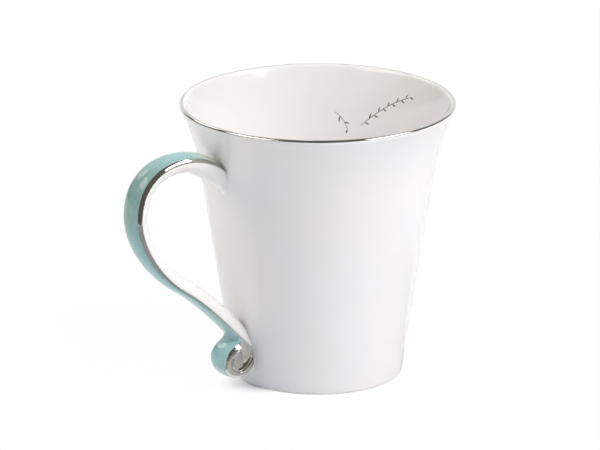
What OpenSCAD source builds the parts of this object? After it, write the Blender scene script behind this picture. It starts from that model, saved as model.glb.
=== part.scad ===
// Bone china mug with a rolled strap handle.
// Origin on the mug's axis in the plane that the foot ring rests on, +Z up, handle towards -X.

/* [Cup] */
// Height from the table to the top of the lip
cup_h = 100; // [85:1:120]
// Outer radius of the wall line where it meets the table
base_r = 30.1; // [27:0.1:36]
// Outer radius where the straight wall turns into the flare
neck_r = 41.9; // [39:0.1:46]
// Outer radius of the lip
lip_r = 49.1; // [46:0.1:56]
// Height of the flared zone below the lip
flare_drop = 24; // [18:0.5:30]
// Thickness of the wall
wall_t = 2.6; // [2:0.1:3.4]
// Thickness of the lip
lip_t = 2; // [1.6:0.1:2.4]
// Turn of the lip's round that the metal band covers, each way from the top
band_turn = 44; // [30:1:60]

/* [Foot] */
// Thickness of the floor
floor_t = 3.6; // [2.8:0.1:5]
// Radius between the floor and the wall, inside
floor_round_r = 8; // [4:0.5:12]
// Depth of the hollow under the floor
foot_depth = 2; // [1:0.1:3]
// Width of the flat ring that the mug stands on
foot_ring_w = 3; // [2:0.1:5]
// Rounding between the wall and the foot ring
heel_r = 1.5; // [0.8:0.1:2.2]

/* [Handle loop] */
// Height of the upper joint below the lip
joint_drop = 16.8; // [14:0.2:20]
// Reach of the loop from the wall at the upper joint
loop_reach = 37.5; // [30:0.5:42]
// Width of the strap over the loop
strap_w = 10.7; // [9:0.1:12]
// Width of the strap at the upper joint
root_w = 9; // [8:0.1:11]
// Rise of the coloured outer face above its edges
face_h = 1.2; // [0.9:0.1:2]
// Depth of the white back of the strap
back_h = 4.6; // [3:0.1:6]
// Thickness of the strap's bright side edge at its thickest
edge_t = 1.9; // [1.2:0.1:2.4]
// Thickness of the enamel and metal coats
coat_t = 0.25; // [0.15:0.05:0.4]

/* [Scroll] */
// Radius of the rolled end
scroll_r = 6.6; // [5.5:0.1:8]
// Width of the rolled end
scroll_w = 10; // [8:0.1:11]
// Rise of the rolled end's middle above its edges
drum_rise = 0.7; // [0.4:0.1:1.2]
// Lowest point of the roll above the table
scroll_gap = 5.2; // [4:0.1:9]
// Depth that the roll is pressed into the wall
scroll_bite = 1.35; // [0.9:0.05:1.6]
// Thickness of the strap where it starts to roll
roll_t = 2.6; // [2:0.1:3]
// Depth of the hollow beside the roll's ridge
eye_depth = 1.2; // [0.6:0.1:2]

/* [Slip joints] */
// Spread of the slip fillet round the upper joint
slip_spread = 1.3; // [0.8:0.1:2]
// Width of the slip fillet under the scroll
slip_w = 8.6; // [6:0.1:9]
// Drop of the slip fillet under the scroll
slip_drop = 1.4; // [0.8:0.1:2]

/* [Hidden] */

// Vectors and curves
function unit(p) = p / norm(p);
function mix(a, b, t) = a + (b - a) * t;
function polar(r, a) = r * [cos(a), sin(a)];
function bezier(p, t) = p[0] * pow(1 - t, 3) + 3 * p[1] * t * pow(1 - t, 2)
    + 3 * p[2] * pow(t, 2) * (1 - t) + p[3] * pow(t, 3);
function bezier_way(p, t) = unit((p[1] - p[0]) * pow(1 - t, 2)
    + 2 * (p[2] - p[1]) * t * (1 - t) + (p[3] - p[2]) * pow(t, 2));

// Cup profile: a straight taper, then an arc tangent to it that ends at the lip
flare_z = cup_h - flare_drop;
wall_way = unit([neck_r - base_r, flare_z]);
wall_out = [wall_way[1], -wall_way[0]];
lip_centre = [lip_r - lip_t / 2, cup_h - lip_t / 2];
neck_centre = [neck_r, flare_z] - wall_out * lip_t / 2;
lip_from_neck = lip_centre - neck_centre;
mid_flare_r = pow(norm(lip_from_neck), 2) / (2 * lip_from_neck * wall_out);
flare_r = mid_flare_r - lip_t / 2;
flare_centre = [neck_r, flare_z] + flare_r * wall_out;
flare_turn = atan(lip_from_neck * wall_way / (mid_flare_r - lip_from_neck * wall_out));
flare_steps = 10;
round_steps = 8;
full_fn = 240;
function wall_r(z) = base_r + (neck_r - base_r) * z / flare_z;
function inner_r(z) = wall_r(z) - wall_t / wall_way[1];
function flare_point(a, depth) = flare_centre
    + (flare_r + depth) * (wall_way * sin(a) - wall_out * cos(a));
function flare_depth(a) = mix(wall_t, lip_t, a / flare_turn);
out_angle = atan2(wall_out[1], wall_out[0]);
lip_angle = out_angle - flare_turn;

function heel_points(r) = [for (i = [0:round_steps / 2])
    [wall_r(r) - r / wall_way[1], r] + polar(r, mix(-90, out_angle, 2 * i / round_steps))];
function flare_points(depth_share) = [for (i = [0:flare_steps])
    let (a = flare_turn * i / flare_steps) flare_point(a, depth_share * flare_depth(a))];
function lip_arc(r, from, to) = [for (i = [0:round_steps])
    lip_centre + polar(r, mix(from, to, i / round_steps))];
// The band's middle, as a share of the lip's half round from its outer side
band_mid_share = 0.645;
band_mid = lip_angle + 180 * band_mid_share;
band_arc = [band_mid - band_turn, band_mid + band_turn];
function reversed(p) = [for (i = [len(p) - 1:-1:0]) p[i]];

floor_z = foot_depth + floor_t;
ring_inner_r = heel_points(heel_r)[0][0] - foot_ring_w;
corner_z = floor_z + floor_round_r;
corner_centre = [inner_r(corner_z) - floor_round_r / wall_way[1], corner_z];
floor_round_points = [for (i = [0:round_steps])
    corner_centre + polar(floor_round_r, mix(out_angle, -90, i / round_steps))];

// Scroll: the roll's outer radius and thickness by angle about its centre, as shares
roll_outer_shares = [
    [150, 1], [350, 1], [372, 0.94], [391, 0.81], [416, 0.7], [450, 0.64], [520, 0.58], [620, 0.56]
];
roll_thickness_shares = [
    [150, 0.77], [180, 1], [270, 0.88], [330, 0.9], [372, 0.8], [391, 0.6], [450, 0.45],
    [540, 0.38], [620, 0.3]
];
// How much of the drum's rise the roll has, by the same angle
roll_swell_shares = [[150, 0], [190, 0.4], [225, 1], [372, 1], [391, 0]];
swell_steps = 6;
roll_from = 150;
roll_to = 620;
roll_step = 10;
slip_from = 190;
enamel_from = 225;
web_from = 350;
web_to = 441;
web_steps = 8;
web_swell_share = 0.12;
web_reach_share = 1.4;
web_lap_share = 0.96;
core_share = 0.93;
function roll_outer(a) = scroll_r * lookup(a, roll_outer_shares);
function roll_inner(a) = roll_outer(a) - roll_t * lookup(a, roll_thickness_shares);
// The web fills the nook between the roll and the strap above it
function web_outer(a) = scroll_r
    * (1 + web_swell_share * pow((a - web_from) / (web_to - web_from), 3));

// Handle path in its own plane: x runs outwards from the mug's axis, y runs up
joint_z = cup_h - joint_drop;
scroll_z = scroll_gap + scroll_r;
scroll_centre = [wall_r(scroll_z) + scroll_r - scroll_bite, scroll_z];
joint_point = [wall_r(joint_z), joint_z] + pow(joint_z - flare_z, 2) / (2 * flare_r) * wall_out;
loop_span = [loop_reach, joint_z - scroll_z];
// Control points of the loop, as shares of its reach and of its height
loop_shares = [
    [0, 0], [0.21, 0.143], [1, 0.165], [1, -0.167],
    [1, -0.332], [0.735, -0.496], [0.475, -0.586], [0.184, -0.686]
];
function loop_control(i) = joint_point
    + [loop_shares[i][0] * loop_span[0], loop_shares[i][1] * loop_span[1]];
roll_start = scroll_centre + polar(roll_inner(roll_from), roll_from);
roll_lead = roll_start - scroll_r * polar(1, roll_from + 90);
arcs = [
    [for (i = [0:3]) loop_control(i)],
    [for (i = [3:6]) loop_control(i)],
    [loop_control(6), loop_control(7), roll_lead, roll_start]
];
arc_steps = [20, 14, 20];
// The first arc's stations stand closer together near the joint
arc_crowding = [1.35, 1, 1];
function arc_share(a, i) = pow(i / arc_steps[a], arc_crowding[a]);
// Each station is a place on the strap's outer face and the way the strap runs there
stations = concat(
    [for (a = [0:2]) for (i = [0:arc_steps[a] - 1])
        [bezier(arcs[a], arc_share(a, i)), bezier_way(arcs[a], arc_share(a, i))]],
    [[roll_start, bezier_way(arcs[2], 1)]]
);
last_station = len(stations) - 1;
// One ring more lies inside the wall, so that the wall's own surface cuts the strap off
rings = concat([[stations[0][0] - wall_t * stations[0][1], stations[0][1]]], stations);
function share_at(k) = max(0, k - 1) / last_station;

// Strap sizes from the joint (0) to the roll (1)
edge_shares = [
    [0, 0.35], [0.08, 0.75], [0.3, 1], [0.5, 0.8], [0.66, 0.5], [0.85, 0.45], [0.93, 0.6]
];
back_shares = [[0, 1.95], [0.05, 1.7], [0.09, 1.42], [0.13, 1.15], [0.18, 1], [0.6, 1], [0.9, 1.05], [1, 0.5]];
face_shares = [[0, 0.5], [0.1, 1], [0.85, 1], [1, 0.5]];
face_steps = 8;
back_steps = 10;
roll_blend_share = 0.93;
root_turn_share = 0.2;
function half_w(s) = lookup(s, [[0, root_w], [0.28, strap_w], [0.72, strap_w],
    [1, scroll_w + coat_t]]) / 2;
function edge_at(s) = let (e = edge_t * lookup(s, edge_shares), grow = s - roll_blend_share)
    mix(e, roll_outer(roll_from) - roll_inner(roll_from), max(0, grow) / (1 - roll_blend_share));
function back_at(s) = back_h * lookup(s, back_shares);
function face_at(s) = face_h * lookup(s, face_shares);

// Section points, as [across the strap, towards its back]
function face_arc(s, inset) = [for (i = [0:face_steps]) let (a = 180 * i / face_steps)
    [(half_w(s) - inset) * cos(a), (inset - face_at(s)) * sin(a)]];
function back_arc(s, spread) = [for (i = [0:back_steps]) let (a = 180 * i / back_steps)
    [-(half_w(s) + spread) * cos(a), edge_at(s) + (back_at(s) + spread) * sin(a)]];
function enamel_section(s) = concat(face_arc(s, 0), reversed(face_arc(s, coat_t)));
function edge_section(s) = [
    [coat_t - half_w(s), 0], [-half_w(s), 0], [-half_w(s), edge_at(s)], [coat_t - half_w(s), edge_at(s)]
];
function strap_section(s, spread) = concat(face_arc(s, -spread), back_arc(s, spread));
// At the upper joint the strap's depth runs down the wall, and from there it turns square to the path
function root_turn(p) = let (t = min(1, norm(p - joint_point) / (root_turn_share * loop_span[1])))
    pow(t, 2) * (3 - 2 * t);
function back_way(ring) = unit(mix(-wall_way, [ring[1][1], -ring[1][0]], root_turn(ring[0])));
// A place at a depth behind the strap's outer face
function strap_point(ring, depth) = ring[0] + depth * back_way(ring);
// A section point placed at a ring: the handle runs towards -X and its width along Y
function placed(ring, p) = let (q = strap_point(ring, p[1])) [-q[0], p[0], q[1]];

// Skin of a row of loops with equal numbers of points. It closes back to its start as a ring, and
// otherwise by its end loops, which are convex or, where paired, lie in two rows side by side
module skin(loops, ring = false, paired = false) {
    n = len(loops[0]);
    rows = len(loops);
    quads = [for (k = [0:rows - (ring ? 1 : 2)]) for (i = [0:n - 1])
        let (j = (i + 1) % n, m = (k + 1) % rows) [k * n + i, k * n + j, m * n + j, m * n + i]];
    start_faces = ring ? [] : paired
        ? [for (i = [0:n / 2 - 2]) each [[i, n - 2 - i, i + 1], [i, n - 1 - i, n - 2 - i]]]
        : [for (i = [1:n - 2]) [0, i + 1, i]];
    last_row = (rows - 1) * n;
    end_faces = [for (f = start_faces) [last_row + f[0], last_row + f[2], last_row + f[1]]];
    polyhedron(
        [for (l = loops) each l],
        concat([for (q = quads) each [[q[0], q[1], q[2]], [q[0], q[2], q[3]]]],
            start_faces, end_faces),
        convexity = 8
    );
}

// Outlines of the scroll in the handle's plane, each as two rows of points side by side. cut takes
// the enamel's thickness off the outside, rise is the drum's swell there, and lap runs the roll on
// into the strap
function roll_outline(cut, rise = 0, lap = 0) = concat(
    [for (a = [roll_from - lap:roll_step:roll_to]) scroll_centre + polar(roll_outer(a)
        + rise * lookup(a, roll_swell_shares) - (a > enamel_from && a < web_from ? cut : 0), a)],
    [for (a = [roll_to:-roll_step:roll_from - lap]) scroll_centre + polar(roll_inner(a), a)]
);
function in_web(s) = norm(s[0] - scroll_centre) < web_reach_share * scroll_r;
web_strap = [for (k = [0:last_station]) if (in_web(stations[k]))
    strap_point(stations[k], edge_at(k / last_station) / 2)];
// The web ends at the strap's outer face, at the last station above it
web_join = stations[last_station - len(web_strap)];
function web_arc(cut, rise, join_depth) = concat(
    [for (i = [0:web_steps]) let (a = mix(web_from, web_to, i / web_steps))
        scroll_centre + polar(web_outer(a) + rise - cut, a)],
    [strap_point(web_join, join_depth - rise)]
);
web_last = web_steps + 1 + len(web_strap);
function web_outline(cut, rise = 0) = concat(
    web_arc(cut, rise, 2 * cut),
    web_strap,
    [for (i = [web_last:-1:0]) let (a = mix(web_from, roll_from + 360, i / web_last))
        scroll_centre + polar(web_lap_share * roll_outer(a), a)]
);
function enamel_arc(cut, rise) = concat(
    [for (a = [enamel_from:roll_step:web_from - 1])
        scroll_centre + polar(roll_outer(a) + rise - cut, a)],
    web_arc(cut, rise, cut)
);
// A place across the drum, and the drum's rise there
function drum_y(i, width) = width * (i / swell_steps - 1 / 2);
function drum_swell(y) = drum_rise * (1 - pow(2 * y / scroll_w, 2));
function drum_swells(width) = [for (i = [0:swell_steps]) drum_swell(drum_y(i, width))];
slip_reach_share = 2.6;
// The lower slip joint fills the nook between the roll and the wall below it
slip_high = scroll_centre + polar(scroll_r, slip_from);
slip_low = scroll_centre + polar(scroll_r, enamel_from) - [0, slip_drop];
function in_wall(z) = [wall_r(z) - wall_t / 2, z];
slip_outline = concat(
    [for (a = [slip_from:roll_step / 2:enamel_from]) scroll_centre + polar(scroll_r, a)],
    [in_wall(slip_low[1]), in_wall(slip_high[1])]
);
slip_rings = [for (r = rings) if (norm(r[0] - joint_point) < slip_reach_share * slip_spread) r];
slip_last = len(slip_rings) - 1;
function slip_at(k) = slip_spread * pow(1 - k / slip_last, 2);

// A flat outline in the handle's plane, given a width about a place across the strap
module across(points, width, y = 0) {
    translate([0, y + width / 2, 0])
        rotate([90, 0, 0])
            linear_extrude(height = width)
                polygon([for (p = points) [-p[0], p[1]]]);
}

module cup_profile() {
    polygon(concat(
        heel_points(heel_r),
        flare_points(0),
        lip_arc(lip_t / 2, lip_angle, band_arc[0]),
        lip_arc(lip_t / 2 - coat_t, band_arc[0], band_arc[1]),
        lip_arc(lip_t / 2, band_arc[1], lip_angle + 180),
        reversed(flare_points(1)),
        floor_round_points,
        [[0, floor_z], [0, foot_depth], [ring_inner_r - foot_depth, foot_depth], [ring_inner_r, 0]]
    ));
}

// The space inside the cup's outer surface, which cuts everything that is joined to the wall
module cup_space() {
    rotate_extrude($fn = full_fn)
        polygon(concat([[0, 0]], heel_points(heel_r), flare_points(0), [[0, cup_h]]));
}

module cup_body() {
    color("whitesmoke")
        rotate_extrude($fn = full_fn)
            cup_profile();
}

module lip_band() {
    color("silver")
        rotate_extrude($fn = full_fn)
            polygon(concat(
                lip_arc(lip_t / 2, band_arc[0], band_arc[1]),
                lip_arc(lip_t / 2 - coat_t, band_arc[1], band_arc[0])
            ));
}

// The scroll's side view, the rolled ridge and the web above it, filled to a flat slab
module scroll_slab(width, y) {
    across(roll_outline(0), width, y);
    across(web_outline(0), width, y);
}

// Outlines in the handle's plane, one for each place across the drum, skinned into a solid
module drum(outlines, width) {
    skin([for (i = [0:swell_steps]) [for (p = outlines[i]) [-p[0], -drum_y(i, width), p[1]]]],
        paired = true);
}

module scroll_core() {
    translate([-scroll_centre[0], 0, scroll_centre[1]])
        rotate([90, 0, 0])
            cylinder(r = scroll_r * core_share, h = scroll_w - 2 * eye_depth, center = true, $fn = full_fn);
}

module casting_body() {
    skin([for (k = [0:len(rings) - 1])
        [for (p = strap_section(share_at(k), -coat_t)) placed(rings[k], p)]]);
    width = scroll_w - 2 * coat_t;
    drum([for (rise = drum_swells(width)) roll_outline(coat_t, rise, roll_step)], width);
    drum([for (rise = drum_swells(width)) web_outline(coat_t, rise)], width);
    scroll_core();
}

module handle_casting() {
    color("white")
        difference() {
            casting_body();
            cup_space();
        }
}

module arm_enamel() {
    color("paleturquoise")
        difference() {
            skin([for (k = [0:len(rings) - 1]) if (k == 0 || !in_web(rings[k]))
                [for (p = enamel_section(share_at(k))) placed(rings[k], p)]], paired = true);
            cup_space();
        }
}

module scroll_enamel() {
    width = scroll_w - 2 * coat_t;
    color("paleturquoise")
        drum([for (rise = drum_swells(width))
            concat(enamel_arc(0, rise), reversed(enamel_arc(coat_t, rise)))], width);
}

module front_metal_edge() {
    color("silver")
        difference() {
            union() {
                skin([for (k = [0:len(rings) - 1])
                    [for (p = edge_section(share_at(k))) placed(rings[k], p)]]);
                scroll_slab(coat_t, (coat_t - scroll_w) / 2);
            }
            cup_space();
        }
}

module rear_metal_edge() {
    mirror([0, 1, 0])
        front_metal_edge();
}

module upper_slip_joint() {
    color("ivory")
        difference() {
            skin([for (i = [0:face_steps + back_steps + 1]) concat(
                [for (k = [0:slip_last]) placed(slip_rings[k], strap_section(share_at(k), 0)[i])],
                [for (k = [slip_last - 1:-1:0])
                    placed(slip_rings[k], strap_section(share_at(k), slip_at(k))[i])]
            )], ring = true);
            cup_space();
        }
}

module lower_slip_joint() {
    color("ivory")
        difference() {
            across(slip_outline, slip_w);
            cup_space();
            drum([for (rise = drum_swells(scroll_w)) roll_outline(0, rise)], scroll_w);
        }
}

cup_body();
lip_band();
handle_casting();
arm_enamel();
scroll_enamel();
front_metal_edge();
rear_metal_edge();
upper_slip_joint();
lower_slip_joint();
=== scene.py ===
import math
import random
import bpy
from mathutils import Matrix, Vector


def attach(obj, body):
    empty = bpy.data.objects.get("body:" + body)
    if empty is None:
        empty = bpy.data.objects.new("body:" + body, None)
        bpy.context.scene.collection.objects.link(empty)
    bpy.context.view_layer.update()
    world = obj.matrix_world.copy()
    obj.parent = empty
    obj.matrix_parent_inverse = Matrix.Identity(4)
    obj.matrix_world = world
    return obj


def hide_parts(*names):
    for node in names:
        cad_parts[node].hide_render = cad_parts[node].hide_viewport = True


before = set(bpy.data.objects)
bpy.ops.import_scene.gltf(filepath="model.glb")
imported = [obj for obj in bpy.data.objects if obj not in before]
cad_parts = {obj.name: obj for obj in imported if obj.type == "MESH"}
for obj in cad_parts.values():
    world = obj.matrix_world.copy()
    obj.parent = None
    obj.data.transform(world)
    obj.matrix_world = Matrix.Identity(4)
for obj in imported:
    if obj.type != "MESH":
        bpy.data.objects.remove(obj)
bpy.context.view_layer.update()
scene = bpy.context.scene
mm = 0.001   # every size below is in millimetres

print("stage: frame loaded")


# small maths
def unit(p):
    size = math.hypot(*p)
    return [c / size for c in p]


def mix(a, b, t):
    if isinstance(a, (list, tuple)):
        return [mix(x, y, t) for x, y in zip(a, b)]
    return a + (b - a) * t


def plus(a, b, k=1.0):
    return [x + k * y for x, y in zip(a, b)]


def polar(r, degrees):
    return [r * math.cos(math.radians(degrees)), r * math.sin(math.radians(degrees))]


def lookup(x, table):
    if x <= table[0][0]:
        return table[0][1]
    for (x0, y0), (x1, y1) in zip(table, table[1:]):
        if x <= x1:
            return mix(y0, y1, (x - x0) / (x1 - x0))
    return table[-1][1]


def smoothStep(t):
    t = max(0.0, min(1.0, t))
    return t * t * (3 - 2 * t)


def smoothed(values, passes):
    for _ in range(passes):
        middle = [(a + 2 * b + c) / 4 for a, b, c in zip(values, values[1:], values[2:])]
        values = [values[0]] + middle + [values[-1]]
    return values


def bezier(p, t):
    return [a * (1 - t) ** 3 + 3 * b * t * (1 - t) ** 2 + 3 * c * t * t * (1 - t) + d * t ** 3
            for a, b, c, d in zip(*p)]


def bezierWay(p, t):
    return unit([(b - a) * (1 - t) ** 2 + 2 * (c - b) * t * (1 - t) + (d - c) * t * t
                 for a, b, c, d in zip(*p)])


def bowed(start, lead, end, t):
    # a short curve that leaves its start towards the lead and comes in from it
    return [a * (1 - t) ** 2 + 2 * b * t * (1 - t) + c * t * t for a, b, c in zip(start, lead, end)]


def through(a, b, c, d, t):
    # from b to c on a smooth curve that also heeds the neighbours a and d
    return 0.5 * (2 * b + (c - a) * t + (2 * a - 5 * b + 4 * c - d) * t * t
                  + (3 * b - a - 3 * c + d) * t ** 3)


# the cup's sizes, as in the part's source
cup = {
    "height": 100, "baseR": 30.1, "neckR": 41.9, "lipR": 49.1, "flareDrop": 24,
    "wall": 2.6, "lip": 2, "floor": 3.6, "floorRound": 8, "heel": 1.5,
    "footDepth": 2, "footRing": 3, "footHollow": 1.2, "hollowInset": 0.6,
    "ringLean": 0.25, "ringEase": 0.05, "ringRound": 0.3,   # the ring's softened inner edge
    "segments": 288, "flareSteps": 26, "roundSteps": 14, "rowStep": 5,
}
flareZ = cup["height"] - cup["flareDrop"]
wallWay = unit([cup["neckR"] - cup["baseR"], flareZ])
wallOut = [wallWay[1], -wallWay[0]]
lipCentre = [cup["lipR"] - cup["lip"] / 2, cup["height"] - cup["lip"] / 2]
neckCentre = plus([cup["neckR"], flareZ], wallOut, -cup["lip"] / 2)
lipFromNeck = plus(lipCentre, neckCentre, -1)
outShare = lipFromNeck[0] * wallOut[0] + lipFromNeck[1] * wallOut[1]
wayShare = lipFromNeck[0] * wallWay[0] + lipFromNeck[1] * wallWay[1]
midFlareR = (lipFromNeck[0] ** 2 + lipFromNeck[1] ** 2) / (2 * outShare)
flareR = midFlareR - cup["lip"] / 2
flareCentre = plus([cup["neckR"], flareZ], wallOut, flareR)
flareTurn = math.degrees(math.atan2(wayShare, midFlareR - outShare))
outAngle = math.degrees(math.atan2(wallOut[1], wallOut[0]))
lipAngle = outAngle - flareTurn


def wallR(z):
    return cup["baseR"] + (cup["neckR"] - cup["baseR"]) * z / flareZ


def innerWallR(z):
    return wallR(z) - cup["wall"] / wallWay[1]


def flarePoint(a, depth):
    r = flareR + depth
    s, c = math.sin(math.radians(a)), math.cos(math.radians(a))
    return [flareCentre[i] + r * (wallWay[i] * s - wallOut[i] * c) for i in (0, 1)]


def flareDepth(a):
    return mix(cup["wall"], cup["lip"], a / flareTurn)


def flareRadius(z, depthAt):
    # the flare's radius at a height, found by halving its turn
    low, high = 0.0, flareTurn
    for _ in range(30):
        half = (low + high) / 2
        low, high = (half, high) if flarePoint(half, depthAt(half))[1] < z else (low, half)
    return flarePoint(low, depthAt(low))[0]


def outerR(z):
    return wallR(z) if z <= flareZ else flareRadius(z, lambda a: 0)


def innerR(z):
    if flarePoint(0, cup["wall"])[1] >= z:
        return innerWallR(z)
    return flareRadius(z, flareDepth)


# meshes
def makePiece(name, points, faces, material, sharp=35):
    mesh = bpy.data.meshes.new(name)
    mesh.from_pydata([[c * mm for c in p] for p in points], [], faces)
    mesh.validate()
    mesh.polygons.foreach_set("use_smooth", [True] * len(mesh.polygons))
    mesh.set_sharp_from_angle(angle=math.radians(sharp))
    mesh.materials.append(material)
    piece = bpy.data.objects.new(name, mesh)
    scene.collection.objects.link(piece)
    return piece


def settle(piece, slotName, *nodes):
    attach(piece, "root")
    if nodes:
        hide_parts(*nodes)


def lathe(profile, segments):
    # the profile is a closed outline of [r, z] with the solid on its left; r = 0 points become poles
    points, rows, faces = [], [], []
    for r, z in profile:
        if r < 1e-6:
            rows.append([len(points)] * segments)
            points.append([0, 0, z])
        else:
            rows.append(list(range(len(points), len(points) + segments)))
            for i in range(segments):
                a = 2 * math.pi * i / segments
                points.append([r * math.cos(a), r * math.sin(a), z])
    for low, high in zip(rows, rows[1:] + rows[:1]):
        for i in range(segments):
            j = (i + 1) % segments
            corners = [low[i], low[j], high[j], high[i]]
            face = [c for k, c in enumerate(corners) if c != corners[k - 1]]
            if len(face) > 2:
                faces.append(face)
    return points, faces


def skin(rows, ring=True, caps=True, wrap=False):
    # quads between rows of equal length; ring closes each row, wrap joins the last row to the first
    n = len(rows[0])
    points = [p for row in rows for p in row]
    faces = []
    count = len(rows)
    for k in range(count if wrap else count - 1):
        for i in range(n if ring else n - 1):
            j, m = (i + 1) % n, (k + 1) % count
            faces.append([k * n + i, k * n + j, m * n + j, m * n + i])
    if caps and not wrap:
        faces.append(list(range(n))[::-1])
        faces.append([(count - 1) * n + i for i in range(n)])
    return points, faces


def joinParts(*parts):
    points, faces = [], []
    for p, f in parts:
        faces += [[i + len(points) for i in face] for face in f]
        points += p
    return points, faces


def turned(part):
    return part[0], [face[::-1] for face in part[1]]


def mirrored(part):
    return [[x, -y, z] for x, y, z in part[0]], [face[::-1] for face in part[1]]


# materials
def newMaterial(name):
    material = bpy.data.materials.new(name)
    material.use_nodes = True
    tree = material.node_tree
    return material, tree, tree.nodes["Principled BSDF"]


def addNode(tree, kind, **settings):
    # settings that start with in_ go to the node's inputs, the others to the node itself
    node = tree.nodes.new(kind)
    for key, value in settings.items():
        if key.startswith("in_"):
            node.inputs[key[3:].replace("_", " ")].default_value = value
        else:
            setattr(node, key, value)
    return node


def blendColours(tree, amount, first, second):
    blend = addNode(tree, "ShaderNodeMix", data_type="RGBA")
    tree.links.new(amount, blend.inputs[0])
    tree.links.new(first, blend.inputs[6])
    blend.inputs[7].default_value = second
    return blend.outputs[2]


def noiseBetween(tree, scale, dark, light, detail=3.0, low=0.35, high=0.65):
    # a colour that drifts between two tones with object coordinates
    coords = addNode(tree, "ShaderNodeTexCoord")
    noise = addNode(tree, "ShaderNodeTexNoise", in_Scale=scale, in_Detail=detail)
    ramp = addNode(tree, "ShaderNodeValToRGB")
    ramp.color_ramp.elements[0].position = low
    ramp.color_ramp.elements[0].color = dark
    ramp.color_ramp.elements[1].position = high
    ramp.color_ramp.elements[1].color = light
    tree.links.new(coords.outputs["Object"], noise.inputs["Vector"])
    tree.links.new(noise.outputs["Fac"], ramp.inputs["Fac"])
    return ramp.outputs["Color"], coords.outputs["Object"]


def noiseValue(tree, vector, scale, low, high, detail=2.0):
    noise = addNode(tree, "ShaderNodeTexNoise", in_Scale=scale, in_Detail=detail)
    span = addNode(tree, "ShaderNodeMapRange")
    span.inputs["From Min"].default_value = 0.3
    span.inputs["From Max"].default_value = 0.7
    span.inputs["To Min"].default_value = low
    span.inputs["To Max"].default_value = high
    tree.links.new(vector, noise.inputs["Vector"])
    tree.links.new(noise.outputs["Fac"], span.inputs["Value"])
    return span.outputs["Result"]


def addWaves(tree, shader, vector, waves):
    scale, strength, deep = waves
    noise = addNode(tree, "ShaderNodeTexNoise", in_Scale=scale, in_Detail=2.0)
    bump = addNode(tree, "ShaderNodeBump", in_Strength=strength, in_Distance=deep * mm)
    tree.links.new(vector, noise.inputs["Vector"])
    tree.links.new(noise.outputs["Fac"], bump.inputs["Height"])
    tree.links.new(bump.outputs["Normal"], shader.inputs["Normal"])


def srgb(r, g, b):
    return [(c / 12.92 if c <= 0.04045 else ((c + 0.055) / 1.055) ** 2.4)
            for c in (r / 255, g / 255, b / 255)] + [1.0]


# in each look: mottle is the noise scale of the tones, rough is scale, least and most,
# and waves is scale, strength and depth
chinaLook = {
    "cool": srgb(243, 241, 240), "warm": srgb(245, 241, 235), "mottle": 28,
    "rough": (60, 0.07, 0.12), "waves": (90, 0.05, 0.3), "ior": 1.5,
    # the foot ring is wiped free of glaze up to about these heights
    "foot": srgb(226, 220, 210), "footRough": 0.55, "wipeFrom": 0.9, "wipeTo": 0.4,
    "wipeScale": 220, "wipeDrift": 0.25,
}


def wipeFoot(tree, vector, colour, rough):
    split = addNode(tree, "ShaderNodeSeparateXYZ")
    tree.links.new(vector, split.inputs["Vector"])
    edge = addNode(tree, "ShaderNodeMapRange")
    edge.inputs["From Min"].default_value = chinaLook["wipeFrom"] * mm
    edge.inputs["From Max"].default_value = chinaLook["wipeTo"] * mm
    drift = chinaLook["wipeDrift"] * mm
    height = addNode(tree, "ShaderNodeMath", operation="ADD")
    tree.links.new(split.outputs["Z"], height.inputs[0])
    tree.links.new(noiseValue(tree, vector, chinaLook["wipeScale"], -drift, drift), height.inputs[1])
    tree.links.new(height.outputs["Value"], edge.inputs["Value"])
    dull = addNode(tree, "ShaderNodeMix", data_type="FLOAT")
    tree.links.new(edge.outputs["Result"], dull.inputs[0])
    tree.links.new(rough, dull.inputs[2])
    dull.inputs[3].default_value = chinaLook["footRough"]
    return blendColours(tree, edge.outputs["Result"], colour, chinaLook["foot"]), dull.outputs[0]


def makeChina(name, foot=False):
    material, tree, shader = newMaterial(name)
    colour, vector = noiseBetween(tree, chinaLook["mottle"], chinaLook["cool"], chinaLook["warm"])
    rough = noiseValue(tree, vector, *chinaLook["rough"])
    if foot:
        colour, rough = wipeFoot(tree, vector, colour, rough)
    tree.links.new(colour, shader.inputs["Base Color"])
    tree.links.new(rough, shader.inputs["Roughness"])
    shader.inputs["IOR"].default_value = chinaLook["ior"]
    addWaves(tree, shader, vector, chinaLook["waves"])
    return material


enamelLook = {
    "blue": srgb(152, 190, 190), "green": srgb(147, 183, 176), "mottle": 45, "low": 0.3, "high": 0.62,
    "rough": (150, 0.04, 0.09), "waves": (160, 0.05, 0.25), "ior": 1.5,
    # painted shade, painted light and one change of tone on the enamel: centre and reach in millimetres,
    # tone, strength
    "paintedLightAndTone": [
        # painted shade: a greyer, darker green round the upper loop
        ((-80, 0, 80), 19, srgb(137, 168, 153), 0.85),
        # painted light: a pale patch at the upper joint that lifts the shade there
        ((-43, 0, 90), 16, srgb(212, 219, 192), 1.0),
        # painted light: a lighter patch on the roll's drum
        ((-40, 0, 13), 17, srgb(168, 203, 203), 0.8),
        # a more turquoise tone on the lower arm
        ((-66, 0, 46), 16, srgb(146, 196, 194), 0.6),
    ],
    # small pale clouds where the brush ran dry
    "pale": srgb(168, 202, 200), "cloudScale": 190, "cloudMost": 0.4,
}


def blendTowards(tree, colour, vector, centre, reach, tone, strength, coreShare=0.35):
    # a colour that gives way to another tone round a place, softly
    gap = addNode(tree, "ShaderNodeVectorMath", operation="DISTANCE")
    gap.inputs[1].default_value = [c * mm for c in centre]
    tree.links.new(vector, gap.inputs[0])
    amount = addNode(tree, "ShaderNodeMapRange", interpolation_type="SMOOTHSTEP")
    amount.inputs["From Min"].default_value = reach * mm
    amount.inputs["From Max"].default_value = coreShare * reach * mm
    amount.inputs["To Max"].default_value = strength
    tree.links.new(gap.outputs["Value"], amount.inputs["Value"])
    return blendColours(tree, amount.outputs["Result"], colour, tone)


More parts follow.
